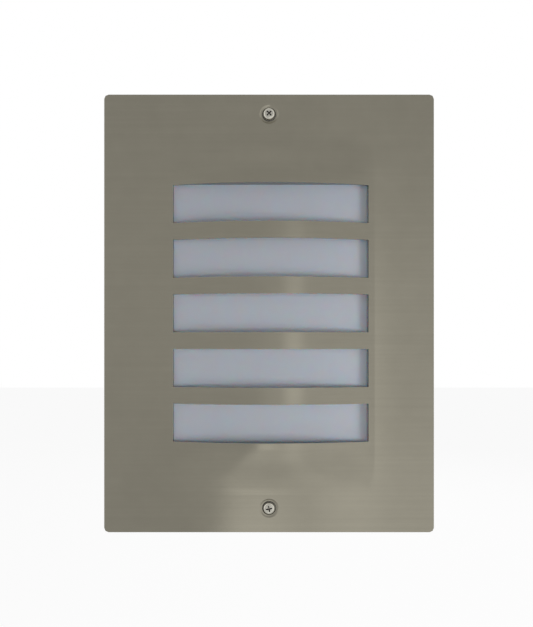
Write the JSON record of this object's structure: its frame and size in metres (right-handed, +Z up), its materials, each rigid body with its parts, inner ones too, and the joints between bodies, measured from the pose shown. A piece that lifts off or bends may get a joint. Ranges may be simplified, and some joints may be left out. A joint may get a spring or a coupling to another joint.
{
  "type": "recessed step light",
  "caption": "Recessed wall step light: brushed stainless plate with a bowed, slotted middle over an opal sheet, on a cast box that holds a screw-in lamp.",
  "frame": {"origin": "on the wall's surface, behind the middle of the plate: the plane of the flange's back face", "axes": "+X to the right seen from in front, +Y into the wall, +Z up"},
  "size_m": [0.226, 0.1037, 0.3],
  "materials": {
    "brushed_stainless": "fine brushed grain, warm grey",
    "stainless_screw": "bright stainless",
    "smoked_nylon": "satin",
    "black_rubber": "matt",
    "grey_silicone": "matt",
    "opal_acrylic": "satin opal, passes light",
    "zinc_steel": "bright zinc plate",
    "cast_aluminium": "as cast, slightly sandy",
    "white_enamel": "gloss white enamel",
    "white_ceramic": "glazed ceramic",
    "brass": "bright brass",
    "solder": "tinned",
    "black_glass": "glossy black",
    "nickel_cap": "nickel plated",
    "lamp_plastic": "satin white",
    "opal_bulb": "satin opal",
    "terminal_plastic": "ivory nylon",
    "brown_pvc": "satin",
    "blue_pvc": "satin",
    "green_yellow_pvc": "satin, green and yellow",
    "black_nylon": "satin"
  },
  "bodies": {
    "housing": {"recess_box": "cast_aluminium", "reflector": "white_enamel", "reflector_screws": "zinc_steel", "lampholder_bracket": "zinc_steel", "bracket_screws": "zinc_steel", "lampholder_body": "white_ceramic", "lampholder_shell": "brass", "centre_contact": "brass", "lampholder_screws": "zinc_steel", "terminal_block": "terminal_plastic", "terminal_clamps": "brass", "terminal_screws": "zinc_steel", "terminal_block_screws": "zinc_steel", "earth_tag": "solder", "earth_screw": "zinc_steel", "live_lead": "brown_pvc", "neutral_lead": "blue_pvc", "earth_lead": "green_yellow_pvc", "gland_washer": "black_rubber", "gland_body": "black_nylon", "gland_locknut": "black_nylon", "gland_seal": "black_rubber", "gland_nut": "black_nylon", "plug_washer": "black_rubber", "blanking_plug": "black_nylon"},
    "cover": {"front_plate": "brushed_stainless", "plate_gasket": "black_rubber", "diffuser": "opal_acrylic", "diffuser_seal": "grey_silicone", "diffuser_frame": "zinc_steel", "diffuser_studs": "zinc_steel", "frame_nuts": "zinc_steel"},
    "upper_seal": {"upper_screw_seal": "smoked_nylon"},
    "upper_screw": {"upper_cover_screw": "stainless_screw"},
    "lower_seal": {"lower_screw_seal": "smoked_nylon"},
    "lower_screw": {"lower_cover_screw": "stainless_screw"},
    "lamp": {"lamp_contact": "solder", "lamp_insulator": "black_glass", "lamp_cap": "nickel_cap", "lamp_body": "lamp_plastic", "lamp_bulb": "opal_bulb"}
  },
  "joints": [
    {"name": "cover_lift_off", "type": "slide", "parent": "housing", "child": "cover", "axis": [0, -1, 0], "range_m": [0, 0.12]},
    {"name": "lamp_unscrew", "type": "slide", "parent": "housing", "child": "lamp", "axis": [0, 0, 1], "range_m": [0, 0.028]},
    {"name": "upper_screw_back_out", "type": "slide", "parent": "cover", "child": "upper_seal", "axis": [0, -1, 0], "range_m": [0, 0.0133]},
    {"name": "upper_screw_turn", "type": "hinge", "parent": "upper_seal", "child": "upper_screw", "pos_m": [0, -0.0053, 0.1365], "axis": [0, -1, 0], "range_deg": [0, 6840]},
    {"name": "lower_screw_back_out", "type": "slide", "parent": "cover", "child": "lower_seal", "axis": [0, -1, 0], "range_m": [0, 0.0133]},
    {"name": "lower_screw_turn", "type": "hinge", "parent": "lower_seal", "child": "lower_screw", "pos_m": [0, -0.0053, -0.1335], "axis": [0, -1, 0], "range_deg": [0, 6840]}
  ],
  "couplings": [
    {"joint": "upper_screw_turn", "follows": "upper_screw_back_out", "rad_per_m": 8976},
    {"joint": "lower_screw_turn", "follows": "lower_screw_back_out", "rad_per_m": 8976}
  ]
}
